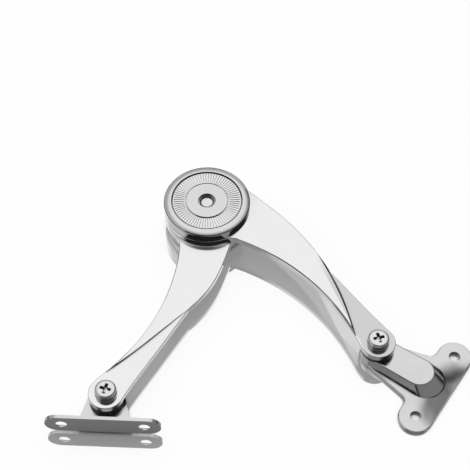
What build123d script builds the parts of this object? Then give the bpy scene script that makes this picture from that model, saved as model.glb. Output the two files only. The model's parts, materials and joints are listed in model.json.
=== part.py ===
from build123d import *
import os
from math import cos, pi, radians, sin, sqrt

os.makedirs("parts", exist_ok=True)

# Lid stay with a friction hub. Everything turns about vertical axes (+Z).
# The origin is the middle of the cabinet bracket's seat, between its two screw holes.

# arms
arm_length = 95.2  # hub axis to pivot axis
arm_thickness = 2.6
blade_step = 0.6  # the upper blade stands this far above the lower leaf at the eye
root_step = 0.1  # and only this far where the leaf comes out of the blade
hub_radius = 18.2
eye_radius = 7.0
eye_thickness = 2.4
arm_gap = 0.3  # between the faces of the two arms
arm_edge = 0.35
leaf_edge = 0.25
lid_crest = 15.2  # convex edge above the arm's centre line, where it leaves the hub
cabinet_crest = 18.2
lid_shoulder = 16.9  # the same edge at x = shoulder_reach
cabinet_shoulder = 17.6
shoulder_reach = 36.2
lid_crease = 5.6  # the same edge as a crease across the arm, crease_run short of its tip
cabinet_crease = 8.6
crease_run = 20.6  # from there to the blade's tip
lid_bevel = 0.4  # width of the bevel along the crease
cabinet_bevel = 0.9
bevel_margin = 0.1  # the bevel's lower edge keeps this far outside the blade
bevel_root = 0.5  # share of the convex edge before the bevel begins
bevel_full = 0.62  # and before it has its width
hollow_height = 2.7  # concave edge above the centre line, at x = hollow_reach
hollow_reach = 54.0
tip_gap = 8.0  # the upper blade runs out this far short of the pivot axis
blade_drop = 4.0
leaf_root = 14.0  # lower leaf's convex edge where it comes out of the blade
leaf_run = 50.2  # from there to the pivot axis
leaf_middle = 10.3
leaf_middle_run = 25.2
leaf_front_run = 35.2  # its concave edge, from where it goes back into the blade
leaf_flat_run = 17.0  # the eye's flat, beyond which the leaf rises to the blade
leaf_lip = 0.5  # lower leaf outside the blade's tip
neck_round = 8.0  # between hub disc and concave edge
shoulder_round = 4.0  # between hub disc and convex edge

# how the arms stand at rest, as directions from the hub
lid_arm_angle = -111.3
cabinet_arm_angle = -41.5
open_swing = 50.0
close_swing = 40.0

# hub
cover_height = 5.9
cover_wall = 1.2
cover_inset = 1.0  # inside the arms' hub discs
cover_edge = 0.8
spigot_wall = 1.5
spigot_height = 1.5  # into the cover
cap_spigot_height = 0.9
fit = 0.1  # between a spigot and the cap or cover round it
cap_height = 4.9
cap_wall = 1.8
cap_edge = 0.8
cap_foot = 0.3
crown_radius = 6.2  # of the bezel's crowned top
crown_angle = 25.0  # its slope where the rounded edge begins
bezel_width = 3.4
bezel_lip = 0.25  # bevel down to the ring
ring_thickness = 0.9
ring_recess = 0.4  # below the bezel's top
centre_radius = 8.85
centre_rise = 0.25  # above the ring
centre_hole = 3.55
centre_dish = 0.2
centre_ledge = 0.85
centre_edge = 0.15
groove = 0.1  # hairline round the ring and the centre disc
roof_thickness = 1.1
teeth = 96
tooth_depth = 0.3
bolt_radius = 3.0
bolt_end_depth = 1.4  # below the cap's top
bolt_square = 7.0
bolt_head_radius = 6.5
bolt_head_height = 2.4
bolt_head_edge = 0.4
bolt_tip_edge = 0.7
nut_width = 10.0
nut_thickness = 1.3
friction_radius = 10.5
friction_bore = 5.6
friction_recess = 0.6
upper_friction_thickness = 0.6
pressure_thickness = 0.6
spring_radius = 7.0
spring_thickness = 0.35
spring_rise = 0.2
spring_gap = 0.02
backing_thickness = 1.6
backing_gap = 0.8  # inside the cover's spigot
bush_radius = 5.0
slip = 0.05  # running clearance, on the radius
seat = 0.02  # clearance of a fixed fit, on the radius
stop_inset = 5.0
stop_pin_radius = 1.2
stop_pin_edge = 0.2
stop_depth = 1.7

# pivots
pivot_bolt_radius = 2.0
pivot_bush_radius = 3.2
spacer_radius = 6.6
spacer_thickness = 2.4
eye_play = 0.1
flat_washer_radius = 4.4
flat_washer_thickness = 0.5
washer_edge = 0.12
spring_washer_radius = 3.9
spring_washer_thickness = 0.9
spring_washer_slit = 0.6
head_radius = 4.0
head_height = 2.0
head_edge = 0.55
cross_length = 4.6
cross_width = 0.9
cross_depth = 1.3

# lid bracket
screw_spacing = 32.0
lid_plate_length = 45.0
lid_plate_height = 10.2
lid_plate_thickness = 1.4
lid_plate_reach = 13.6  # pivot axis to the face that meets the lid
lid_hole_radius = 2.2
lid_sink_radius = 3.2
lid_sink_angle = 90.0
ear_thickness = 1.8
ear_radius = 7.2
ear_base = 21.4
ear_bend = 0.9

# cabinet bracket
pivot_reach = 26.9  # pivot axis to the line of the screw holes
cabinet_bracket_angle = -31.0
cabinet_plate_thickness = 1.8
cabinet_hole_radius = 2.35
lobe_radius = 6.8
stem_width = 13.2
stem_flare = 24.0
neck_fillet = 3.0
boss_width = 12.2
boss_length = 18.8
boss_foot_radius = 8.0  # at its outer end
boss_heel_radius = 6.5  # under the pivot
boss_foot_length = 22.3
boss_edge = 0.9
plate_edge = 0.3
core_wall = 2.5  # round the pocket cored out under the boss
core_roof = 1.8
core_start = 9.0  # pivot axis to the pocket's first centre

# radii of the hub, and places along an arm
cover_radius = hub_radius - cover_inset
backing_radius = cover_radius - cover_wall - fit - spigot_wall - backing_gap
ring_radius = hub_radius - bezel_width - groove
stop_radius = hub_radius - stop_inset
blade_reach = arm_length - tip_gap
crease_reach = blade_reach - crease_run
leaf_start = arm_length - leaf_run

# levels, from the seat upward
lid_arm_bottom = cover_height
lid_arm_top = lid_arm_bottom + arm_thickness
cabinet_arm_bottom = lid_arm_top + arm_gap
cabinet_arm_top = cabinet_arm_bottom + arm_thickness
cap_top = cabinet_arm_top + cap_height
ring_top = cap_top - ring_recess
centre_top = ring_top + centre_rise
ring_bottom = ring_top - ring_thickness
roof_bottom = ring_bottom - roof_thickness
bolt_end = cap_top - bolt_end_depth
lid_eye_top = lid_arm_top - blade_step
lid_eye_bottom = lid_eye_top - eye_thickness
ear_top = lid_eye_bottom - spacer_thickness
ear_bottom = ear_top - ear_thickness
lid_plate_bottom = ear_bottom
cabinet_eye_top = cabinet_arm_top - blade_step
cabinet_eye_bottom = cabinet_eye_top - eye_thickness
boss_top = cabinet_eye_bottom - spacer_thickness

# axes in plan
bracket_x = cos(radians(cabinet_bracket_angle))
bracket_y = sin(radians(cabinet_bracket_angle))
cabinet_pivot = Vector(-pivot_reach * bracket_x, -pivot_reach * bracket_y, 0)
cabinet_x = Vector(cos(radians(cabinet_arm_angle)), sin(radians(cabinet_arm_angle)), 0)
lid_x = Vector(cos(radians(lid_arm_angle)), sin(radians(lid_arm_angle)), 0)
hub_axis = cabinet_pivot - cabinet_x * arm_length
lid_pivot = hub_axis + lid_x * arm_length

hub_plane = Plane(origin=hub_axis)
lid_arm_plane = Plane(origin=hub_axis, x_dir=lid_x, z_dir=(0, 0, 1))
cabinet_arm_plane = Plane(origin=hub_axis, x_dir=cabinet_x, z_dir=(0, 0, 1))
lid_plane = Plane(origin=lid_pivot)
bracket_plane = Plane(origin=cabinet_pivot, x_dir=(bracket_x, bracket_y, 0), z_dir=(0, 0, 1))


def save(piece, name):
    piece.part.label = name
    export_step(piece.part, f"parts/{name}.step")


def arm_blank(plane, bottom, crest_start, shoulder, crease, bevel):
    """One arm before its hub is machined: upper blade, and lower leaf with the eye."""
    top = bottom + arm_thickness
    leaf_top = top - blade_step
    with BuildPart() as leaf:
        with BuildSketch(plane.offset(bottom)):
            with BuildLine():
                back = Spline(
                    (leaf_start, leaf_root),
                    (arm_length - leaf_middle_run, leaf_middle),
                    (arm_length, eye_radius),
                    tangents=((1, -0.18), (1, -0.08)),
                )
                eye_end = ThreePointArc(
                    back @ 1, (arm_length + eye_radius, 0), (arm_length, -eye_radius)
                )
                front = Spline(
                    eye_end @ 1,
                    (blade_reach, -blade_drop - leaf_lip),
                    (arm_length - leaf_front_run, hollow_height + leaf_lip),
                    tangents=((-1, 0.1), (-1, 0.2)),
                )
                Line(front @ 1, back @ 0)
            make_face()
        extrude(amount=arm_thickness)
        # its top sinks toward the eye, so that the step beside the blade grows
        with BuildSketch(Plane(origin=plane.origin, x_dir=plane.x_dir, z_dir=-plane.y_dir)):
            with BuildLine():
                sink = TangentArc(
                    (arm_length - leaf_flat_run, leaf_top),
                    (leaf_start, top - root_step),
                    tangent=(-1, 0),
                )
                Polyline(
                    sink @ 1,
                    (leaf_start, top + arm_thickness),
                    (arm_length + 2 * eye_radius, top + arm_thickness),
                    (arm_length + 2 * eye_radius, leaf_top),
                    sink @ 0,
                )
            make_face()
        extrude(amount=2 * hub_radius, both=True, mode=Mode.SUBTRACT)
        upper_rim = leaf.edges().filter_by(lambda edge: edge.center().Z > leaf_top - leaf_edge)
        across = upper_rim.filter_by(GeomType.LINE)
        fillet(upper_rim - across, leaf_edge)
    with BuildPart() as blank:
        with BuildSketch(plane.offset(bottom)) as blade:
            Circle(hub_radius)
            with BuildLine():
                crest = Spline(
                    (0, crest_start),
                    (shoulder_reach, shoulder),
                    (crease_reach, crease),
                    (blade_reach, -blade_drop),
                    tangents=((1, 0.04), (1, -0.62)),
                )
                hollow = ThreePointArc(
                    crest @ 1,
                    (hollow_reach, hollow_height),
                    (0.8 * hub_radius, -0.32 * hub_radius),
                )
                Polyline(hollow @ 1, (0, 0), crest @ 0)
            make_face()
            neck = (0.955 * hub_radius, -0.28 * hub_radius)
            fillet(blade.vertices().sort_by_distance(neck)[0], neck_round)
            if crest_start < hub_radius - shoulder_round / 4:
                corner = (sqrt(hub_radius**2 - crest_start**2), crest_start)
                fillet(blade.vertices().sort_by_distance(corner)[0], shoulder_round)
        extrude(amount=arm_thickness)
        crest_point = plane.from_local_coords(Vector(crease_reach, crease, top))
        rim = blank.edges().group_by(Axis.Z)[-1].sort_by_distance(crest_point)
        fillet(rim[1:], arm_edge)
    # bevel along the crease: its block is lofted, and widens where the leaf begins
    with BuildPart() as bevel_block:
        for level, width in ((leaf_top, -bevel_margin), (top, bevel)):
            with BuildSketch(plane.offset(level)):
                with BuildLine():
                    edge = Spline(
                        *[
                            crest @ place + crest.tangent_at(place).rotate(Axis.Z, -90) * inset
                            for place, inset in (
                                (bevel_root, -bevel_margin),
                                (bevel_full, width),
                                ((1 + bevel_full) / 2, width),
                                (1, width),
                            )
                        ]
                    )
                    Polyline(
                        edge @ 1,
                        (arm_length, -blade_drop),
                        (arm_length, hub_radius),
                        (shoulder_reach, hub_radius + 1),
                        edge @ 0,
                    )
                make_face()
        loft()
    with BuildPart() as arm:
        add(blank.part)
        add(bevel_block.part, mode=Mode.SUBTRACT)
        add(leaf.part)
        with BuildSketch(plane.offset(bottom)):
            with Locations((arm_length, 0)):
                Circle(eye_radius)
        extrude(amount=arm_thickness - blade_step - eye_thickness)
        with BuildSketch(plane.offset(top)):
            with Locations((arm_length, 0)):
                Circle(pivot_bush_radius + slip)
        extrude(amount=-2 * arm_thickness, mode=Mode.SUBTRACT)
    return arm


# lid arm: the lower one, carries the cover, the stop pin and the lower friction disc
lid_blank = arm_blank(
    lid_arm_plane, lid_arm_bottom, lid_crest, lid_shoulder, lid_crease, lid_bevel
)
with BuildPart() as lid_arm:
    add(lid_blank.part)
    with BuildSketch(lid_arm_plane.offset(lid_arm_bottom)):
        Circle(cover_radius - cover_wall - fit)
        Circle(cover_radius - cover_wall - fit - spigot_wall, mode=Mode.SUBTRACT)
    extrude(amount=-spigot_height)
    with BuildSketch(lid_arm_plane.offset(lid_arm_top)):
        Circle(friction_radius + seat)
    extrude(amount=-friction_recess, mode=Mode.SUBTRACT)
    with BuildSketch(lid_arm_plane.offset(lid_arm_top)):
        Rectangle(bolt_square + 2 * seat, bolt_square + 2 * seat)
        with Locations((-stop_radius, 0)):
            Circle(stop_pin_radius + seat)
    extrude(amount=-arm_thickness, mode=Mode.SUBTRACT)
save(lid_arm, "lid_arm")

# cabinet arm: the upper one, with the bush's bore and the arc that the stop pin runs in
cabinet_blank = arm_blank(
    cabinet_arm_plane, cabinet_arm_bottom, cabinet_crest, cabinet_shoulder, cabinet_crease,
    cabinet_bevel,
)
stop_angle = lid_arm_angle + 180 - cabinet_arm_angle
with BuildPart() as cabinet_arm:
    add(cabinet_blank.part)
    with BuildSketch(cabinet_arm_plane.offset(cabinet_arm_top)):
        Circle(hub_radius - cap_wall - fit)
        Circle(hub_radius - cap_wall - fit - spigot_wall, mode=Mode.SUBTRACT)
    extrude(amount=cap_spigot_height)
    with BuildSketch(cabinet_arm_plane.offset(cabinet_arm_top)):
        Circle(bush_radius + seat)
    extrude(amount=-arm_thickness, mode=Mode.SUBTRACT)
    with BuildSketch(cabinet_arm_plane.offset(cabinet_arm_bottom)):
        with BuildLine(mode=Mode.PRIVATE) as stop_path:
            CenterArc((0, 0), stop_radius, stop_angle - open_swing, open_swing + close_swing)
        SlotArc(stop_path.edge(), 2 * (stop_pin_radius + 2 * slip))
    extrude(amount=stop_depth, mode=Mode.SUBTRACT)
save(cabinet_arm, "cabinet_arm")

# stop pin, pressed into the lid arm
with BuildPart() as stop_pin:
    with BuildSketch(lid_arm_plane.offset(lid_arm_bottom)):
        with Locations((-stop_radius, 0)):
            Circle(stop_pin_radius)
    extrude(amount=cabinet_arm_bottom + stop_depth - arm_gap - lid_arm_bottom)
    chamfer(stop_pin.edges().group_by(Axis.Z)[-1], stop_pin_edge)
save(stop_pin, "stop_pin")

# cover under the hub
with BuildPart() as back_cover:
    with BuildSketch(hub_plane):
        Circle(cover_radius)
    extrude(amount=cover_height)
    with BuildSketch(hub_plane.offset(cover_wall)):
        Circle(cover_radius - cover_wall)
    extrude(amount=cover_height, mode=Mode.SUBTRACT)
    chamfer(back_cover.edges().group_by(Axis.Z)[0], cover_edge)
save(back_cover, "back_cover")

# clamp bolt: round head, square neck held by the lid arm, plain end seen in the cap's hole
neck_top = lid_arm_top - friction_recess
with BuildPart() as hub_bolt:
    with BuildSketch(lid_arm_plane.offset(lid_arm_bottom - backing_thickness)):
        Circle(bolt_head_radius)
    extrude(amount=-bolt_head_height)
    chamfer(hub_bolt.edges().group_by(Axis.Z)[0], bolt_head_edge)
    with BuildSketch(lid_arm_plane.offset(lid_arm_bottom - backing_thickness)):
        Rectangle(bolt_square, bolt_square)
    extrude(amount=neck_top - lid_arm_bottom + backing_thickness)
    with BuildSketch(lid_arm_plane.offset(neck_top)):
        Circle(bolt_radius)
    extrude(amount=bolt_end - neck_top)
    chamfer(hub_bolt.edges().group_by(Axis.Z)[-1], bolt_tip_edge)
save(hub_bolt, "hub_bolt")

# steel plate between the bolt's head and the lid arm
with BuildPart() as backing_plate:
    with BuildSketch(lid_arm_plane.offset(lid_arm_bottom)):
        Circle(backing_radius)
        Rectangle(bolt_square + 2 * seat, bolt_square + 2 * seat, mode=Mode.SUBTRACT)
    extrude(amount=-backing_thickness)
save(backing_plate, "backing_plate")

# friction disc between the arms
with BuildPart() as lower_friction_disc:
    with BuildSketch(hub_plane.offset(neck_top)):
        Circle(friction_radius)
        Circle(friction_bore, mode=Mode.SUBTRACT)
    extrude(amount=cabinet_arm_bottom - neck_top)
save(lower_friction_disc, "lower_friction_disc")

# bush that the cabinet arm turns on
with BuildPart() as hub_bush:
    with BuildSketch(hub_plane.offset(cabinet_arm_bottom)):
        Circle(bush_radius)
        Circle(bolt_radius + slip, mode=Mode.SUBTRACT)
    extrude(amount=arm_thickness)
save(hub_bush, "hub_bush")

# friction disc on top of the cabinet arm
with BuildPart() as upper_friction_disc:
    with BuildSketch(hub_plane.offset(cabinet_arm_top)):
        Circle(friction_radius)
        Circle(friction_bore, mode=Mode.SUBTRACT)
    extrude(amount=upper_friction_thickness)
save(upper_friction_disc, "upper_friction_disc")

pressure_bottom = cabinet_arm_top + upper_friction_thickness
with BuildPart() as pressure_plate:
    with BuildSketch(hub_plane.offset(pressure_bottom)):
        Circle(friction_radius)
        Circle(bolt_radius + slip, mode=Mode.SUBTRACT)
    extrude(amount=pressure_thickness)
save(pressure_plate, "pressure_plate")

# a pair of disc springs, nested cone in cone
spring_bottom = pressure_bottom + pressure_thickness
with BuildPart() as disc_springs:
    for place in range(2):
        foot = spring_bottom + place * (spring_thickness + spring_gap)
        with BuildSketch(Plane(origin=hub_axis, x_dir=(1, 0, 0), z_dir=(0, -1, 0))):
            with BuildLine():
                Polyline(
                    (spring_radius, foot),
                    (spring_radius, foot + spring_thickness),
                    (bolt_radius + 2 * slip, foot + spring_thickness + spring_rise),
                    (bolt_radius + 2 * slip, foot + spring_rise),
                    close=True,
                )
            make_face()
        revolve(axis=Axis(hub_axis, (0, 0, 1)), mode=Mode.ADD)
save(disc_springs, "disc_springs")

nut_bottom = spring_bottom + 2 * spring_thickness + spring_gap + spring_rise
with BuildPart() as hub_nut:
    with BuildSketch(hub_plane.offset(nut_bottom)):
        RegularPolygon(nut_width / 2, 6, major_radius=False)
        Circle(bolt_radius + seat, mode=Mode.SUBTRACT)
    extrude(amount=nut_thickness)
save(hub_nut, "hub_nut")

# cap: rounded bezel that sits over the cabinet arm's spigot and carries the two inlays
with BuildPart() as cap_bezel:
    with BuildSketch(Plane(origin=hub_axis, x_dir=(1, 0, 0), z_dir=(0, -1, 0))):
        with BuildLine():
            slope = sin(radians(crown_angle))
            crown = JernArc(
                (hub_radius - crown_radius * slope - cap_edge * (1 - slope), cap_top),
                (1, 0),
                crown_radius,
                -crown_angle,
            )
            edge = JernArc(crown @ 1, crown % 1, cap_edge, crown_angle - 90)
            Polyline(
                edge @ 1,
                (hub_radius, cabinet_arm_top + cap_foot),
                (hub_radius - cap_foot, cabinet_arm_top),
                (hub_radius - cap_wall, cabinet_arm_top),
                (hub_radius - cap_wall, roof_bottom),
                (centre_radius - centre_ledge, roof_bottom),
                (centre_radius - centre_ledge, ring_bottom),
                (ring_radius + groove, ring_bottom),
                (ring_radius + groove, ring_top),
                (ring_radius + groove + bezel_lip, cap_top),
                crown @ 0,
            )
        make_face()
    revolve(axis=Axis(hub_axis, (0, 0, 1)))
save(cap_bezel, "cap_bezel")

# inlaid ring, serrated by V grooves that narrow toward the middle
with BuildPart() as tooth_gap:
    for radius in (centre_radius, ring_radius + groove):
        half_gap = 0.42 * 2 * pi * radius / teeth
        with BuildSketch(Plane.YZ.offset(radius)):
            with Locations((0, ring_top)):
                Polygon((-half_gap, 0.05), (0, -tooth_depth), (half_gap, 0.05), align=None)
    loft()
with BuildPart(hub_plane) as serrated_ring:
    with BuildSketch(hub_plane.offset(ring_bottom)):
        Circle(ring_radius)
        Circle(centre_radius + groove, mode=Mode.SUBTRACT)
    extrude(amount=ring_thickness)
    with PolarLocations(0, teeth):
        add(tooth_gap.part, mode=Mode.SUBTRACT)
save(serrated_ring, "serrated_ring")

# dished disc in the middle of the cap, with the hole over the clamp bolt
with BuildPart() as cap_centre:
    with BuildSketch(Plane(origin=hub_axis, x_dir=(1, 0, 0), z_dir=(0, -1, 0))):
        with BuildLine():
            Polyline(
                (centre_hole, centre_top - centre_dish - centre_edge),
                (centre_hole, ring_bottom),
                (centre_radius, ring_bottom),
                (centre_radius, centre_top - centre_edge),
                (centre_radius - centre_edge, centre_top),
                (centre_hole + centre_edge, centre_top - centre_dish),
                close=True,
            )
        make_face()
    revolve(axis=Axis(hub_axis, (0, 0, 1)))
save(cap_centre, "cap_centre")


def spacer(plane, bottom):
    with BuildPart() as ring:
        with BuildSketch(plane.offset(bottom)):
            Circle(spacer_radius)
            Circle(pivot_bush_radius + slip, mode=Mode.SUBTRACT)
        extrude(amount=spacer_thickness)
    return ring


def pivot_bush(plane, bottom):
    with BuildPart() as sleeve:
        with BuildSketch(plane.offset(bottom)):
            Circle(pivot_bush_radius)
            Circle(pivot_bolt_radius + slip, mode=Mode.SUBTRACT)
        extrude(amount=spacer_thickness + eye_thickness + eye_play)
    return sleeve


def flat_washer(plane, eye_top):
    with BuildPart() as washer:
        with BuildSketch(plane.offset(eye_top + eye_play)):
            Circle(flat_washer_radius)
            Circle(pivot_bolt_radius + 2 * slip, mode=Mode.SUBTRACT)
        extrude(amount=flat_washer_thickness)
        chamfer(washer.edges().group_by(Axis.Z)[-1].sort_by(SortBy.RADIUS)[-1], washer_edge)
    return washer


def spring_washer(plane, eye_top):
    with BuildPart() as coil:
        with BuildSketch(plane.offset(eye_top + eye_play + flat_washer_thickness)):
            Circle(spring_washer_radius)
            Circle(pivot_bolt_radius + 2 * slip, mode=Mode.SUBTRACT)
            with Locations((0, -spring_washer_radius)):
                Rectangle(spring_washer_slit, 2 * spring_washer_radius, rotation=0, mode=Mode.SUBTRACT)
        extrude(amount=spring_washer_thickness)
    return coil


def pivot_screw(plane, eye_top, tip):
    """Pan head screw with a cross recess; tip is the level that its shank reaches."""
    under_head = eye_top + eye_play + flat_washer_thickness + spring_washer_thickness
    with BuildPart() as screw:
        with BuildSketch(plane.offset(under_head)):
            Circle(head_radius)
        extrude(amount=head_height)
        fillet(screw.edges().group_by(Axis.Z)[-1], head_edge)
        with BuildSketch(plane.offset(under_head)):
            Circle(pivot_bolt_radius)
        extrude(amount=tip - under_head)
        with BuildSketch(plane.offset(under_head + head_height)):
            Rectangle(cross_length, cross_width)
            Rectangle(cross_width, cross_length)
        extrude(amount=-cross_depth, taper=14, mode=Mode.SUBTRACT)
    return screw


# lid bracket: screw plate on edge, bent into the ear that carries the pivot
lid_middle = lid_pivot + Vector(0, 0, lid_plate_bottom + lid_plate_height / 2)
ear_foot = lid_plate_thickness - lid_plate_reach
lid_face = Plane(
    origin=lid_middle + Vector(0, -lid_plate_reach, 0), x_dir=(1, 0, 0), z_dir=(0, -1, 0)
)
lid_back = Plane(origin=lid_middle + Vector(0, ear_foot, 0), x_dir=(1, 0, 0), z_dir=(0, 1, 0))
with BuildPart() as lid_bracket:
    with BuildSketch(lid_face):
        SlotOverall(lid_plate_length, lid_plate_height)
    extrude(amount=-lid_plate_thickness)
    with BuildSketch(lid_plane.offset(ear_bottom)):
        Circle(ear_radius)
        with Locations((0, ear_foot)):
            Rectangle(ear_base, lid_plate_thickness / 2, align=(Align.CENTER, Align.MAX))
        make_hull()
    extrude(amount=ear_thickness)
    bend = lid_pivot + Vector(0, ear_foot, ear_top)
    fillet(lid_bracket.edges().filter_by(Axis.X).sort_by_distance(bend)[0], ear_bend)
    with BuildSketch(lid_plane.offset(ear_top)):
        Circle(pivot_bolt_radius + seat)
    extrude(amount=-ear_thickness, mode=Mode.SUBTRACT)
    with Locations(lid_back):
        with GridLocations(screw_spacing, 1, 2, 1):
            CounterSinkHole(
                lid_hole_radius, lid_sink_radius, depth=lid_plate_thickness,
                counter_sink_angle=lid_sink_angle,
            )
save(lid_bracket, "lid_bracket")

# cabinet bracket: flat screw plate with a raised, drafted boss under the pivot
with BuildPart() as cabinet_bracket:
    with BuildSketch(bracket_plane) as plate:
        with Locations((pivot_reach, 0)):
            Rectangle(2 * lobe_radius, screw_spacing)
            with GridLocations(1, screw_spacing, 1, 2):
                Circle(lobe_radius)
        with BuildLine():
            stem_end = pivot_reach - lobe_radius / 2
            Polyline(
                (0, stem_width / 2),
                (stem_end, stem_flare / 2),
                (stem_end, -stem_flare / 2),
                (0, -stem_width / 2),
                close=True,
            )
        make_face()
        Circle(stem_width / 2)
        necks = plate.vertices().sort_by_distance((pivot_reach - lobe_radius, 0))[0:2]
        fillet(necks, neck_fillet)
    extrude(amount=cabinet_plate_thickness)
    chamfer(cabinet_bracket.edges().group_by(Axis.Z)[-1], plate_edge)
    with BuildSketch(bracket_plane.offset(cabinet_plate_thickness)):
        Circle(boss_heel_radius)
        with Locations((boss_foot_length, 0)):
            Circle(boss_foot_radius)
        make_hull()
    with BuildSketch(bracket_plane.offset(boss_top)):
        with Locations((boss_length / 2, 0)):
            SlotCenterToCenter(boss_length, boss_width)
    loft()
    fillet(cabinet_bracket.edges().group_by(Axis.Z)[-1], boss_edge)
    with BuildSketch(bracket_plane):
        with Locations(((core_start + boss_length) / 2, 0)):
            SlotCenterToCenter(boss_length - core_start, boss_width - 2 * core_wall)
    extrude(amount=boss_top - core_roof, mode=Mode.SUBTRACT)
    with BuildSketch(bracket_plane.offset(boss_top)):
        Circle(pivot_bolt_radius + seat)
        with Locations((pivot_reach, 0)):
            with GridLocations(1, screw_spacing, 1, 2):
                Circle(cabinet_hole_radius)
    extrude(amount=-boss_top, mode=Mode.SUBTRACT)
save(cabinet_bracket, "cabinet_bracket")

# lid pivot, standing on the ear
lid_spacer = spacer(lid_plane, ear_top)
save(lid_spacer, "lid_spacer")
lid_bush = pivot_bush(lid_plane, ear_top)
save(lid_bush, "lid_bush")
lid_flat_washer = flat_washer(lid_plane, lid_eye_top)
save(lid_flat_washer, "lid_flat_washer")
lid_spring_washer = spring_washer(lid_plane, lid_eye_top)
save(lid_spring_washer, "lid_spring_washer")
lid_screw = pivot_screw(lid_plane, lid_eye_top, ear_bottom)
save(lid_screw, "lid_screw")

# cabinet pivot, standing on the boss
cabinet_spacer = spacer(bracket_plane, boss_top)
save(cabinet_spacer, "cabinet_spacer")
cabinet_bush = pivot_bush(bracket_plane, boss_top)
save(cabinet_bush, "cabinet_bush")
cabinet_flat_washer = flat_washer(bracket_plane, cabinet_eye_top)
save(cabinet_flat_washer, "cabinet_flat_washer")
cabinet_spring_washer = spring_washer(bracket_plane, cabinet_eye_top)
save(cabinet_spring_washer, "cabinet_spring_washer")
cabinet_screw = pivot_screw(bracket_plane, cabinet_eye_top, cabinet_plate_thickness)
save(cabinet_screw, "cabinet_screw")
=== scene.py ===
import json
import math

import bpy
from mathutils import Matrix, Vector


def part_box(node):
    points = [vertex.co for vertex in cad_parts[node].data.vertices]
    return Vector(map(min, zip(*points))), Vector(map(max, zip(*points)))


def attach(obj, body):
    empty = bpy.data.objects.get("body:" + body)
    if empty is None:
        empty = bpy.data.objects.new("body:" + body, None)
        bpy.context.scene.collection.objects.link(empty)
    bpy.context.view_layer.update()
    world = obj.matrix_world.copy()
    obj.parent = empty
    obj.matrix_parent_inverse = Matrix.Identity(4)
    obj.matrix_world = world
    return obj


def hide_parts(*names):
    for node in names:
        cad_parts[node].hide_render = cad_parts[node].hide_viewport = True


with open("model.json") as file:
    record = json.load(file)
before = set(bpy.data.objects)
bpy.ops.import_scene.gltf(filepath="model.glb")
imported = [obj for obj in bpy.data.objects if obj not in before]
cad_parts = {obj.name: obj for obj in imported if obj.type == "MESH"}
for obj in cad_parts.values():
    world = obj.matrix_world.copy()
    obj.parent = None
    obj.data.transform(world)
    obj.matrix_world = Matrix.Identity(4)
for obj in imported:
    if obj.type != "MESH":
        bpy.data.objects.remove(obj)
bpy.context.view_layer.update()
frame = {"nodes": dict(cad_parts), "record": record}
nodes = frame["nodes"]
mm = 0.001
print("frame loaded:", len(nodes), "nodes")


# one output of a shader node, with the arithmetic that the materials use
class Value:
    def __init__(self, shader, socket):
        self.shader = shader
        self.socket = socket

    def maths(self, operation, first, second):
        return self.shader.maths(operation, first, second)

    def __add__(self, other):
        return self.maths("ADD", self, other)

    __radd__ = __add__

    def __sub__(self, other):
        return self.maths("SUBTRACT", self, other)

    def __rsub__(self, other):
        return self.maths("SUBTRACT", other, self)

    def __mul__(self, other):
        return self.maths("MULTIPLY", self, other)

    __rmul__ = __mul__


# adds nodes to the tree of a material or of the world
class Shader:
    def __init__(self, owner):
        owner.use_nodes = True
        self.tree = owner.node_tree
        self.tree.nodes.clear()

    def add(self, kind, settings=None, inputs=None, output=0):
        node = self.tree.nodes.new(kind)
        for name, setting in (settings or {}).items():
            setattr(node, name, setting)
        for name, value in (inputs or {}).items():
            if isinstance(value, Value):
                self.tree.links.new(value.socket, node.inputs[name])
            else:
                node.inputs[name].default_value = value
        return Value(self, node.outputs[output])

    def maths(self, operation, first, second):
        return self.add("ShaderNodeMath", {"operation": operation}, {0: first, 1: second})

    # the greatest of several values
    def most(self, first, *others):
        for other in others:
            first = self.maths("MAXIMUM", first, other)
        return first

    def vectors(self, operation, first, second, output=0):
        return self.add("ShaderNodeVectorMath", {"operation": operation}, {0: first, 1: second}, output)

    # one coordinate of a vector
    def part(self, vector, axis):
        return self.add("ShaderNodeSeparateXYZ", {}, {"Vector": vector}, axis)

    def place(self):
        return self.add("ShaderNodeTexCoord", output="Object")

    def ray(self, kind):
        return self.add("ShaderNodeLightPath", output=kind)

    # 1 in the open, 0 in a closed corner
    def openness(self, reach, **settings):
        return self.add("ShaderNodeAmbientOcclusion", settings, {"Distance": reach}, "AO")

    # rises smoothly from 0 to 1 as the value goes from low to high
    def step(self, value, low, high):
        return self.add("ShaderNodeMapRange", {"interpolation_type": "SMOOTHSTEP"}, {
            "Value": value, "From Min": low, "From Max": high})

    def noise(self, place, size, detail):
        return self.add("ShaderNodeTexNoise", {}, {"Vector": place, "Scale": 1 / size, "Detail": detail})

    def bump(self, height, depth, **inputs):
        return self.add("ShaderNodeBump", {}, {
            "Strength": 1.0, "Height": height, "Distance": depth, **inputs})

    def blend(self, amount, dark, light):
        return self.add("ShaderNodeMix", {"data_type": "RGBA"}, {0: amount, 6: dark, 7: light}, 2)

    def output(self, surface, kind="ShaderNodeOutputMaterial"):
        node = self.tree.nodes.new(kind)
        self.tree.links.new(surface.socket, node.inputs["Surface"])


def grey(level):
    return (level, level, level, 1.0)


def newShader(name):
    material = bpy.data.materials.new(name)
    return material, Shader(material)


def axisOf(node):
    low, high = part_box(node)
    return (low[0] + high[0]) / 2, (low[1] + high[1]) / 2, low[2], high[2]


surfaces = {
    "metalClouds": 14 * mm,  # size of the clouds that blend a metal's two tones
    "plasticClouds": 6 * mm,
    "plasticSpread": 0.1,  # how much rougher the clouds make a plastic
    "level": (0.97, 0.995),  # heights of the normal between which a face counts as level
    "soot": 0.02,  # tone of the painted shade in a closed recess
    "fade": 0.4 * mm,  # over which a dent ends at its ceiling
    "leafEdge": (-0.3 * mm, 0.4 * mm),  # over which the leaf's painted darker reflection begins
}
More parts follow.
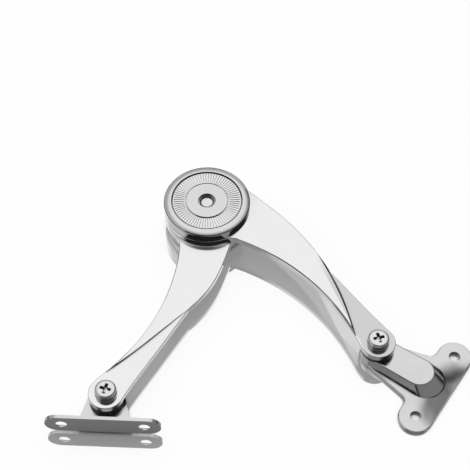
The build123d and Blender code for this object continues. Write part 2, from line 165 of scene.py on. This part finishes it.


# tone of a metal: every entry of its look beyond the first ones paints shade or a dark reflection into part
# of it
def metalTone(shader, place, clouds, facing, look):
    dark, light = look["tones"]
    upward = shader.part(facing, 2)
    tone = shader.blend(clouds, grey(dark), grey(light))
    # painted shade: faces whose normal points down or aside get a darker tone
    if "under" in look:
        downward, sideways, share = look["under"]
        tone = shader.blend(shader.step(upward, downward, sideways), grey(dark * share), tone)
    # painted reflection: the cabinet arm's leaf gets a darker tone where it would mirror a darker sky
    if "leaf" in look:
        leaf = look["leaf"]
        offset = shader.vectors("SUBTRACT", place, leaf["edge"])
        across = shader.vectors("DOT_PRODUCT", offset, leaf["side"], 1)
        away = shader.vectors("DISTANCE", place, leaf["eye"], 1)
        shade = shader.step(across, *surfaces["leafEdge"]) * (1 - shader.step(away, *leaf["reach"]))
        tone = shader.blend(shade, tone, grey(dark * leaf["share"]))
    # painted reflection: fillets and bevels get a dark line, standing in for the dark horizon they would
    # mirror
    if "rimShade" in look:
        steep, slanted, shallow, share = look["rimShade"]
        line = shader.step(upward, steep, slanted) * (1 - shader.step(upward, slanted, shallow))
        tone = shader.blend(line, tone, grey(dark * share))
    # painted shade: corners, gaps and creases that ambient occlusion finds closed are darkened
    if "recess" in look:
        reach, closed, clear = look["recess"]
        openness = shader.openness(reach, only_local=True, samples=8)
        tone = shader.blend(shader.step(openness, closed, clear), grey(surfaces["soot"]), tone)
    return tone


def metal(name, look):
    material, shader = newShader(name)
    place = shader.place()
    facing = shader.add("ShaderNodeNewGeometry", output="Normal")
    clouds = shader.noise(place, surfaces["metalClouds"], 4)
    waveSize, waveHeight = look["waves"]
    grainSize, grainHeight = look["grain"]
    grain = shader.noise(place, grainSize, 2)
    normal = shader.bump(shader.noise(place, waveSize, 1), waveHeight)
    if "dent" in look:
        dent = look["dent"]
        away = shader.vectors("DISTANCE", place, dent["middle"], 1)
        ceiling = dent["ceiling"]
        below = 1 - shader.step(shader.part(place, 2), ceiling, ceiling + surfaces["fade"])
        height = shader.step(away, 0, dent["radius"])
        normal = shader.bump(height, dent["depth"], Strength=below, Normal=normal)
    low, spread = look["gloss"]
    roughness = clouds * spread + (low - spread / 2) + grain * (spread / 2)
    if "level" in look:
        roughness = roughness + shader.step(shader.part(facing, 2), *surfaces["level"]) * look["level"]
    shader.output(shader.add("ShaderNodeBsdfPrincipled", {}, {
        "Base Color": metalTone(shader, place, clouds, facing, look),
        "Metallic": 1.0,
        "Roughness": roughness,
        "Normal": shader.bump(grain, grainHeight, Normal=normal),
    }))
    return material


def plastic(name, look):
    material, shader = newShader(name)
    place = shader.place()
    clouds = shader.noise(place, surfaces["plasticClouds"], 4)
    dark, light = look["tones"]
    grainSize, grainHeight = look["grain"]
    shader.output(shader.add("ShaderNodeBsdfPrincipled", {}, {
        "Base Color": shader.blend(clouds, dark, light),
        "Roughness": clouds * surfaces["plasticSpread"] + look["roughness"],
        "Normal": shader.bump(shader.noise(place, grainSize, 3), grainHeight),
    }))
    return material


# tones: darkest and lightest base colour; gloss: middle roughness and its spread
# waves and grain: size and height; level: how much rougher level faces are
# under: painted shade on faces turned down or aside: between these heights of the normal the tone grows
# darker, down to this share of it
# recess: reach of the shade in a corner, openness at which it is full and at which it ends
# rims: a painted dark reflection line on fillets and bevels, by three heights of the normal, and its share
# of the tone
armLook = {
    "tones": (0.81, 0.88),
    "gloss": (0.07, 0.03),
    "waves": (9 * mm, 0.004 * mm),
    "grain": (0.25 * mm, 0.0004 * mm),
    "level": 0.05,
    "under": (-0.9, -0.7, 0.40),
    "recess": (1.5 * mm, 0.62, 0.97),
    "rimShade": (0.62, 0.80, 0.985, 0.10),
    # bends the reflections round the hub
    "dent": {
        "middle": (*axisOf("cap_bezel")[:2], 8.5 * mm),
        "radius": 26 * mm,
        "depth": -3.6 * mm,
        "ceiling": 20 * mm,
    },
    # painted darker reflection, from the crease to the cabinet arm's eye
    "leaf": {
        "edge": (-39.75 * mm, 34.93 * mm, 11 * mm),
        "side": (0.911, 0.412, 0),
        "eye": (-23 * mm, 14 * mm, 11 * mm),
        "reach": (32 * mm, 50 * mm),
        "share": 0.78,
    },
}
capLook = {
    "tones": (0.66, 0.75),
    "gloss": (0.05, 0.02),
    "waves": (9 * mm, 0.003 * mm),
    "grain": (0.25 * mm, 0.0003 * mm),
    "recess": (1.2 * mm, 0.55, 0.85),
    "rimShade": (0.30, 0.62, 0.86, 0.12),
}
ringLook = {
    "tones": (0.76, 0.84),
    "gloss": (0.12, 0.04),
    "waves": (6 * mm, 0.002 * mm),
    "grain": (0.12 * mm, 0.0006 * mm),
}
bracketLook = {
    "tones": (0.62, 0.74),
    "gloss": (0.13, 0.06),
    "waves": (12 * mm, 0.6 * mm),
    "grain": (0.3 * mm, 0.002 * mm),
    "under": (0.2, 0.6, 0.8),
    "recess": (1.8 * mm, 0.45, 0.88),
    # bends the reflections on the cabinet bracket's plate
    "dent": {
        "middle": (13.5 * mm, -7.0 * mm, 1.8 * mm),
        "radius": 24 * mm,
        "depth": 5.8 * mm,
        "ceiling": 2.0 * mm,
    },
}
screwLook = {
    "tones": (0.72, 0.80),
    "gloss": (0.12, 0.05),
    "waves": (3 * mm, 0.002 * mm),
    "grain": (0.15 * mm, 0.0006 * mm),
    "recess": (1.2 * mm, 0.45, 0.95),
}
innerLook = {
    "tones": (0.45, 0.55),
    "gloss": (0.38, 0.1),
    "waves": (4 * mm, 0.002 * mm),
    "grain": (0.2 * mm, 0.003 * mm),
}
spacerLook = {
    "tones": (grey(0.012), grey(0.022)),
    "roughness": 0.38,
    "grain": (0.3 * mm, 0.002 * mm),
}
liningLook = {
    "tones": ((0.10, 0.08, 0.06, 1), (0.17, 0.14, 0.10, 1)),
    "roughness": 0.75,
    "grain": (0.2 * mm, 0.01 * mm),
}
bushLook = {
    "tones": ((0.62, 0.61, 0.57, 1), (0.70, 0.69, 0.65, 1)),
    "roughness": 0.45,
    "grain": (0.3 * mm, 0.001 * mm),
}

finishes = {
    "arm_chrome": metal("armChrome", armLook),
    "cap_chrome": metal("capChrome", capLook),
    "ring_chrome": metal("ringChrome", ringLook),
    "bracket_nickel": metal("bracketNickel", bracketLook),
    "screw_chrome": metal("screwChrome", screwLook),
    "inner_steel": metal("innerSteel", innerLook),
    "spacer_black": plastic("spacerBlack", spacerLook),
    "friction_lining": plastic("frictionLining", liningLook),
    "bush_plastic": plastic("bushPlastic", bushLook),
}
for part in frame["record"]["subparts"]:
    node = nodes[part["node"]]
    node.data.materials.clear()
    node.data.materials.append(finishes[part["material_slot"]])
print("finishes assigned:", len(finishes))


modelling = {
    "near": 0.01 * mm,  # heights closer than this count as one
    "merge": 0.0005 * mm,
    "level": 0.9,  # a face whose normal is steeper than this lies level
    "upright": 0.5 * mm,  # an edge that rises by more than this stands
    "rimWidth": 0.05 * mm,  # how far inside a radius an edge still counts as its rim
    "smooth": 35,  # angle in degrees below which faces are shaded as one
}


# modelling helpers: every new piece starts as a primitive and is shaped in edit mode
def begin(name):
    piece = bpy.context.object
    piece.name = name
    bpy.ops.object.transform_apply(location=True, rotation=True, scale=True)
    return piece


def choose(piece, kind, test):
    bpy.ops.object.mode_set(mode="EDIT")
    bpy.ops.mesh.select_mode(type=kind)
    bpy.ops.mesh.select_all(action="DESELECT")
    bpy.ops.object.mode_set(mode="OBJECT")
    mesh = piece.data
    if kind == "FACE":
        for face in mesh.polygons:
            face.select = test(face.center, face.normal)
    elif kind == "EDGE":
        for edge in mesh.edges:
            ends = [mesh.vertices[k].co for k in edge.vertices]
            edge.select = test(*ends)
    else:
        for vertex in mesh.vertices:
            vertex.select = test(vertex.co)
    bpy.ops.object.mode_set(mode="EDIT")


def isTop(centre, normal):
    return normal.z > modelling["level"]


def isUnderside(centre, normal):
    return normal.z < -modelling["level"]


def isUpright(a, b):
    return abs(a.z - b.z) > modelling["upright"]


def extrude(x, y, rise, share=1.0):
    bpy.ops.mesh.extrude_region_move(TRANSFORM_OT_translate={"value": (0, 0, rise)})
    if share != 1.0:
        bpy.ops.transform.resize(value=(share, share, 1), center_override=(x, y, 0))


# closes the top of a bolt or head in steps of rise and share of the full width
def dome(piece, x, y, steps):
    choose(piece, "FACE", isTop)
    share = 1.0
    for rise, width in steps:
        extrude(x, y, rise * mm, width / share)
        share = width


def done(piece, angle=modelling["smooth"]):
    bpy.ops.object.mode_set(mode="EDIT")
    bpy.ops.mesh.select_all(action="SELECT")
    bpy.ops.mesh.remove_doubles(threshold=modelling["merge"])
    bpy.ops.mesh.normals_make_consistent(inside=False)
    bpy.ops.object.mode_set(mode="OBJECT")
    bpy.ops.object.select_all(action="DESELECT")
    piece.select_set(True)
    bpy.context.view_layer.objects.active = piece
    bpy.ops.object.shade_smooth_by_angle(angle=math.radians(angle))
    return piece


def join(main, *others):
    bpy.ops.object.select_all(action="DESELECT")
    for other in others:
        other.select_set(True)
    main.select_set(True)
    bpy.context.view_layer.objects.active = main
    bpy.ops.object.join()
    return main


def applied(piece, kind, **settings):
    bpy.context.view_layer.objects.active = piece
    modifier = piece.modifiers.new(kind.lower(), kind)
    for name, setting in settings.items():
        setattr(modifier, name, setting)
    bpy.ops.object.modifier_apply(modifier=modifier.name)


def dress(piece, body, slot, *replaced):
    piece.data.materials.clear()
    piece.data.materials.append(finishes[slot])
    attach(piece, body)
    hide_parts(*replaced)


def cut(piece, tool):
    applied(piece, "BOOLEAN", object=tool, operation="DIFFERENCE", solver="EXACT")
    bpy.data.objects.remove(tool)


# one helix of a rectangular or trapezoid section about the vertical axis through x, y
def coil(name, x, y, bottom, inner, outer, height, crest, pitch, turns, steps, part=360):
    bpy.ops.object.select_all(action="DESELECT")
    bpy.ops.mesh.primitive_plane_add(size=1, rotation=(math.pi / 2, 0, 0))
    piece = bpy.context.object
    piece.scale = (outer - inner, height, 1)
    piece.location = ((inner + outer) / 2, 0, 0)
    begin(name)
    choose(piece, "VERT", lambda co: co.x > (inner + outer) / 2)
    bpy.ops.transform.resize(value=(1, 1, crest / height), center_override=(outer, 0, 0))
    bpy.ops.mesh.select_all(action="SELECT")
    bpy.ops.mesh.delete(type="ONLY_FACE")
    bpy.ops.object.mode_set(mode="OBJECT")
    applied(piece, "SCREW", axis="Z", angle=math.radians(part), screw_offset=pitch, iterations=turns,
            steps=steps, render_steps=steps, use_merge_vertices=False)
    bpy.ops.object.mode_set(mode="EDIT")
    bpy.ops.mesh.select_mode(type="EDGE")
    bpy.ops.mesh.select_all(action="SELECT")
    bpy.ops.mesh.remove_doubles(threshold=modelling["merge"])
    bpy.ops.mesh.select_all(action="DESELECT")
    bpy.ops.mesh.select_non_manifold()
    bpy.ops.mesh.fill_holes(sides=4)
    bpy.ops.object.mode_set(mode="OBJECT")
    piece.location = (x, y, bottom)
    bpy.ops.object.select_all(action="DESELECT")
    piece.select_set(True)
    bpy.ops.object.transform_apply(location=True)
    return done(piece)


pivotScrew = {
    "headRadius": 4.2 * mm,
    "headHeight": 2.0 * mm,
    "headSides": 64,
    "rim": 1.15 * mm,
    # rise in mm and share of the width
    "dome": [(0.34, 0.97), (0.26, 0.91), (0.16, 0.83), (0.06, 0.62), (0.02, 0.25)],
    "ledge": 0.35 * mm,  # plain border of the underside
    "shankRadius": 2.05 * mm,
    "lowerBevel": 0.38 * mm,
    "lowerBevelSteps": 3,
    "crossLength": 4.7 * mm,
    "crossWidth": 1.35 * mm,
    "crossDepth": 1.8 * mm,
    "crossTaper": 0.80,
    "crossCorner": 0.22 * mm,
    "crossLift": 0.2 * mm,  # the cutting shapes stand this far above the head
    "coneRadius": 1.15 * mm,
    "coneDepth": 2.0 * mm,
    "coneLift": 0.15 * mm,
    "coneSides": 24,
    "coreRadius": 1.62 * mm,
    "threadRadius": 2.0 * mm,
    "threadPitch": 0.7 * mm,
    "threadLength": 1.6 * mm,
    "threadStart": 0.45 * mm,  # above the tip
    "threadEnd": 0.5 * mm,  # left plain at both ends together
    "threadRoot": 0.6 * mm,
    "threadCrest": 0.12 * mm,
    "threadSink": 0.1 * mm,  # into the core
    "threadSteps": 28,
    "tip": 0.25 * mm,
    "tipShare": 0.8,
}


def makePivotScrew(name, node, body, turn):
    size = pivotScrew
    x, y, tip, top = axisOf(node)
    under = top - size["headHeight"]
    radius = size["headRadius"]
    bpy.ops.object.select_all(action="DESELECT")
    bpy.ops.mesh.primitive_cylinder_add(vertices=size["headSides"], radius=radius, depth=size["rim"],
                                        location=(x, y, under + size["rim"] / 2))
    head = begin(name)
    dome(head, x, y, size["dome"])
    # the underside, then the plain shank that the bush turns on, the core of the thread and the tip
    choose(head, "FACE", isUnderside)
    bpy.ops.mesh.inset(thickness=size["ledge"])
    bpy.ops.mesh.inset(thickness=radius - size["ledge"] - size["shankRadius"])
    extrude(x, y, tip + size["threadLength"] - under)
    bpy.ops.mesh.inset(thickness=size["threadRadius"] - size["coreRadius"])
    extrude(x, y, size["tip"] - size["threadLength"])
    extrude(x, y, -size["tip"], size["tipShare"])

    def onLowerRim(a, b):
        rim = (a - Vector((x, y, a.z))).length > radius - modelling["rimWidth"]
        return rim and abs(a.z - b.z) < modelling["near"] and abs(a.z - under) < modelling["near"]

    choose(head, "EDGE", onLowerRim)
    bpy.ops.mesh.bevel(offset=size["lowerBevel"], segments=size["lowerBevelSteps"])
    bpy.ops.object.mode_set(mode="OBJECT")
    done(head)
    # Phillips recess: two tapering wings and a cone between them
    for quarter in (0, 90):
        middle = top + size["crossLift"] - size["crossDepth"] / 2
        bpy.ops.mesh.primitive_cube_add(size=1, location=(x, y, middle),
                                        rotation=(0, 0, math.radians(turn + quarter)),
                                        scale=(size["crossLength"], size["crossWidth"], size["crossDepth"]))
        wing = begin("wing")
        choose(wing, "FACE", isUnderside)
        taper = size["crossTaper"]
        bpy.ops.transform.resize(value=(taper, taper, 1), center_override=(x, y, 0))
        choose(wing, "EDGE", isUpright)
        bpy.ops.mesh.bevel(offset=size["crossCorner"], segments=2)
        bpy.ops.object.mode_set(mode="OBJECT")
        cut(head, wing)
    bpy.ops.mesh.primitive_cone_add(vertices=size["coneSides"], radius1=0, radius2=size["coneRadius"],
                                    depth=size["coneDepth"],
                                    location=(x, y, top + size["coneLift"] - size["coneDepth"] / 2))
    cut(head, begin("cone"))
    turns = round((size["threadLength"] - size["threadEnd"]) / size["threadPitch"])
    thread = coil(name + "Thread", x, y, tip + size["threadStart"], size["coreRadius"] - size["threadSink"],
                  size["threadRadius"], size["threadRoot"], size["threadCrest"], size["threadPitch"], turns,
                  size["threadSteps"])
    join(head, thread)
    done(head)
    dress(head, body, "screw_chrome", node)
    return head


springWasher = {
    "radius": 3.85 * mm,
    "bore": 2.15 * mm,
    "thickness": 0.62 * mm,
    "rise": 0.24 * mm,  # between its two ends
    "slit": 14,
    "lift": 0.01 * mm,
    "bevel": 0.2 * mm,
    "bevelSteps": 3,
    "bevelAngle": 40,
    "steps": 72,
}


def makeSpringWasher(name, node, body, turn):
    size = springWasher
    x, y, bottom, top = axisOf(node)
    washer = coil(name, 0, 0, size["thickness"] / 2 + size["lift"], size["bore"], size["radius"],
                  size["thickness"], size["thickness"], size["rise"], 1, size["steps"], 360 - size["slit"])
    applied(washer, "BEVEL", width=size["bevel"], segments=size["bevelSteps"], limit_method="ANGLE",
            angle_limit=math.radians(size["bevelAngle"]))
    washer.rotation_euler = (0, 0, math.radians(turn))
    washer.location = (x, y, bottom)
    begin(name)
    done(washer)
    dress(washer, body, "screw_chrome", node)
    return washer


makePivotScrew("lidPivotScrew", "lid_screw", "lid_side", -13)
makePivotScrew("cabinetPivotScrew", "cabinet_screw", "cabinet_side", 16.5)
makeSpringWasher("lidSplitWasher", "lid_spring_washer", "lid_side", 200)
makeSpringWasher("cabinetSplitWasher", "cabinet_spring_washer", "cabinet_side", 120)
print("pivot screws and split washers made")

serratedRing = {
    "grooves": 72,
    "lines": 6,  # radial lines from groove to groove, so a groove is 2/6 of the pitch wide
    "outer": 14.42 * mm,
    "inner": 9.28 * mm,
    "land": 0.35 * mm,  # plain border outside the serration
    "innerLand": 0.25 * mm,
    "depth": 0.165 * mm,
    "innerDepth": 0.115 * mm,
    "rise": 0.2 * mm,  # over which a groove comes down at either end
    "edge": 0.05 * mm,
    "smooth": 12,
}


def makeSerratedRing():
    size = serratedRing
    x, y, bottom, top = axisOf("serrated_ring")
    count = size["lines"] * size["grooves"]
    step = 2 * math.pi / count
    bpy.ops.object.select_all(action="DESELECT")
    bpy.ops.mesh.primitive_circle_add(vertices=count, radius=size["outer"], location=(x, y, bottom))
    ring = begin("serratedInlay")
    bpy.ops.object.mode_set(mode="EDIT")
    bpy.ops.mesh.select_mode(type="EDGE")
    bpy.ops.mesh.select_all(action="SELECT")
    radius = size["outer"]
    edge = size["edge"]
    grooveOuter = size["outer"] - size["land"]
    grooveInner = size["inner"] + size["innerLand"]
    bedOuter, bedInner = grooveOuter - size["rise"], grooveInner + size["rise"]
    walk = [(top - bottom - edge, size["outer"]), (edge, size["outer"] - edge),
            (0, grooveOuter), (0, bedOuter), (0, bedInner), (0, grooveInner),
            (0, size["inner"] + edge), (-edge, size["inner"]), (bottom - top + edge, size["inner"])]
    for rise, target in walk:
        bpy.ops.mesh.extrude_region_move(TRANSFORM_OT_translate={"value": (0, 0, rise)})
        bpy.ops.transform.resize(value=(target / radius, target / radius, 1), center_override=(x, y, 0))
        radius = target
    near = modelling["near"]
    choose(ring, "EDGE", lambda a, b: abs(a.z - bottom) < near and abs(b.z - bottom) < near)
    bpy.ops.mesh.bridge_edge_loops()

    # one radial line of each pitch is pressed in, deeper toward the rim
    def inGroove(co, target):
        offset = co - Vector((x, y, co.z))
        line = round(math.atan2(offset.y, offset.x) / step) % size["lines"]
        return line == 0 and abs(offset.length - target) < 4 * near and co.z > top - 2 * near

    for target, depth in ((bedOuter, size["depth"]), (bedInner, size["innerDepth"])):
        choose(ring, "VERT", lambda co: inGroove(co, target))
        bpy.ops.transform.translate(value=(0, 0, -depth))
    bpy.ops.object.mode_set(mode="OBJECT")
    done(ring, size["smooth"])
    dress(ring, "upper_arm", "ring_chrome", "serrated_ring")
    return ring


makeSerratedRing()
print("serrated ring made:", serratedRing["grooves"], "grooves")

hubBolt = {
    "headRadius": 6.5 * mm,
    "headHeight": 2.4 * mm,
    "headSides": 64,
    "headBevel": 0.5 * mm,
    "headBevelSteps": 3,
    "neckTop": 7.9 * mm,  # the level of the lid arm's friction recess
    "square": 7.0 * mm,
    "squareTurn": -111.3,  # as the lid arm stands at rest
    "squareCorner": 0.25 * mm,
    "overlap": 0.1 * mm,  # of head, neck and shank
    "radius": 3.0 * mm,
    "coreRadius": 2.65 * mm,
    "coreSides": 48,
    "pitch": 1.0 * mm,
    "threadStart": 0.3 * mm,  # left plain above the neck, at least
    "threadEnd": 0.4 * mm,
    "threadRoot": 0.85 * mm,
    "threadCrest": 0.15 * mm,
    "threadSink": 0.1 * mm,
    "threadSteps": 40,
    "dome": [(0.15, 0.96), (0.10, 0.88), (0.05, 0.70), (0.02, 0.40)],
}


def makeHubBolt():
    size = hubBolt
    x, y, bottom, top = axisOf("hub_bolt")
    neckTop, overlap = size["neckTop"], size["overlap"]
    bpy.ops.object.select_all(action="DESELECT")
    bpy.ops.mesh.primitive_cylinder_add(vertices=size["headSides"], radius=size["headRadius"],
                                        depth=size["headHeight"],
                                        location=(x, y, bottom + size["headHeight"] / 2))
    head = begin("clampBolt")
    lowest = bottom + modelling["near"]
    choose(head, "EDGE", lambda a, b: a.z < lowest and b.z < lowest)
    bpy.ops.mesh.bevel(offset=size["headBevel"], segments=size["headBevelSteps"])
    bpy.ops.object.mode_set(mode="OBJECT")
    neckBottom = bottom + size["headHeight"]
    height = neckTop - neckBottom + 2 * overlap
    bpy.ops.mesh.primitive_cube_add(size=1, location=(x, y, (neckBottom + neckTop) / 2 - overlap),
                                    rotation=(0, 0, math.radians(size["squareTurn"])),
                                    scale=(size["square"], size["square"], height))
    neck = begin("neck")
    choose(neck, "EDGE", isUpright)
    bpy.ops.mesh.bevel(offset=size["squareCorner"], segments=2)
    bpy.ops.object.mode_set(mode="OBJECT")
    shankTop = top - sum(rise for rise, share in size["dome"]) * mm
    bpy.ops.mesh.primitive_cylinder_add(vertices=size["coreSides"], radius=size["coreRadius"],
                                        depth=shankTop - neckTop + 2 * overlap,
                                        location=(x, y, (shankTop + neckTop) / 2 - overlap))
    shank = begin("shank")
    dome(shank, x, y, size["dome"])
    bpy.ops.object.mode_set(mode="OBJECT")
    turns = int((shankTop - neckTop - size["threadStart"]) / size["pitch"])
    start = shankTop - size["threadEnd"] - turns * size["pitch"]
    thread = coil("thread", x, y, start, size["coreRadius"] - size["threadSink"], size["radius"],
                  size["threadRoot"], size["threadCrest"], size["pitch"], turns, size["threadSteps"])
    join(head, neck, shank, thread)
    done(head)
    dress(head, "lower_arm", "screw_chrome", "hub_bolt")
    return head


makeHubBolt()
print("clamp bolt made")

table = {
    "level": -0.02 * mm,
    "size": 4.0,
    "tones": (0.93, 0.95),
    "clouds": 1 / 6,
    "mirror": 0.66,
    "shaded": 0.30,  # mirror where something lies close above
    "closeness": 4.0 * mm,
    "open": (0.45, 0.75),  # openness between which the table is shaded and lit
    "glow": 0.195,  # lifts the lit table to the white of its backdrop
}


def makeTable():
    bpy.ops.object.select_all(action="DESELECT")
    bpy.ops.mesh.primitive_plane_add(size=table["size"], location=(0, 0, table["level"]))
    top = bpy.context.object
    top.name = "tableTop"
    material, shader = newShader("tableWhite")
    clouds = shader.noise(shader.place(), table["clouds"], 3)
    dark, light = table["tones"]
    tone = shader.blend(clouds, grey(dark), grey(light))
    paint = shader.add("ShaderNodeBsdfDiffuse", {}, {"Color": tone})
    polish = shader.add("ShaderNodeBsdfAnisotropic", {}, {"Color": grey(1.0), "Roughness": 0.0})
    lit = shader.step(shader.openness(table["closeness"], samples=16), *table["open"])
    mirror = lit * (table["mirror"] - table["shaded"]) + table["shaded"]
    lacquer = shader.add("ShaderNodeMixShader", {}, {0: mirror, 1: paint, 2: polish})
    kinds = ("Is Camera Ray", "Is Glossy Ray", "Is Transmission Ray")
    seen = shader.most(*[shader.ray(kind) for kind in kinds])
    strength = seen * lit * table["glow"]
    glow = shader.add("ShaderNodeEmission", {}, {"Color": grey(1.0), "Strength": strength})
    shader.output(shader.add("ShaderNodeAddShader", {}, {0: lacquer, 1: glow}))
    top.data.materials.append(material)
    return top


makeTable()

studio = {
    "tent": (0.0, 0.42, 0.9075),  # direction of the bright tent overhead
    "tentEdges": (0.70, 0.975),  # cosines at which it fades out and is full
    "walls": 0.50,
    "floorLine": 0.015,  # the dark line all round where walls and floor meet
    "horizon": (0.10, 0.24),  # the walls fade in over these heights
    "onward": (1.2, 1.8),  # glossy depths between a first and a second reflection
    "screenSide": (0.80, -0.60),  # black screen, high up, from behind the camera round to the right
    "screenEdges": (-0.30, -0.16),
    "screenFoot": (0.64, 0.74),  # a second reflection sees it reach down to the floor
    "lowerEdges": (-0.17, -0.12),  # a thinner screen below it
    "lowerShade": 0.55,
    "northEdges": (0.45, 0.60),  # a black one behind the object, which only a second reflection sees
}


def makeStudio():
    world = bpy.data.worlds.new("studio")
    bpy.context.scene.world = world
    shader = Shader(world)
    direction = shader.add("ShaderNodeTexCoord", output="Generated")
    across, along, up = [shader.part(direction, axis) for axis in range(3)]
    x, y, z = studio["tent"]
    tent = shader.step(across * x + along * y + up * z, *studio["tentEdges"])
    east, north = studio["screenSide"]
    aside = across * east + along * north
    onward = shader.step(shader.ray("Glossy Depth"), *studio["onward"])
    reach = shader.most(shader.step(up, *studio["screenFoot"]), onward)
    upper = shader.step(aside, *studio["screenEdges"]) * reach
    lower = shader.step(aside, *studio["lowerEdges"]) * studio["lowerShade"]
    behind = onward * shader.step(along, *studio["northEdges"])
    screens = shader.most(upper, lower, behind)
    walls = (1 - screens) * shader.step(up, *studio["horizon"]) * studio["walls"] + studio["floorLine"]
    lit = shader.add("ShaderNodeBackground", {}, {"Color": grey(1.0), "Strength": shader.most(tent, walls)})
    # the camera, and the table's own mirror, see the plain white backdrop
    seen = shader.most(shader.ray("Is Camera Ray"), shader.ray("Is Singular Ray") * (1 - onward))
    backdrop = shader.add("ShaderNodeBackground", {}, {"Color": grey(1.0), "Strength": 1.0})
    both = shader.add("ShaderNodeMixShader", {}, {0: seen, 1: lit, 2: backdrop})
    shader.output(both, "ShaderNodeOutputWorld")


makeStudio()

cameraView = {
    "place": (-68.1 * mm, -260.06 * mm, 469.06 * mm),
    "down": 54.77,
    "turn": 2.448,
    "lens": 102.77,
    "sensor": 36,
    "near": 10 * mm,
}


def makeCamera():
    data = bpy.data.cameras.new("camera")
    camera = bpy.data.objects.new("camera", data)
    bpy.context.scene.collection.objects.link(camera)
    camera.location = cameraView["place"]
    camera.rotation_euler = (math.radians(90 - cameraView["down"]), 0, math.radians(cameraView["turn"]))
    data.lens = cameraView["lens"]
    data.sensor_width = cameraView["sensor"]
    data.clip_start = cameraView["near"]
    bpy.context.scene.camera = camera


makeCamera()
bpy.context.scene.view_settings.view_transform = "Standard"
print("studio ready")
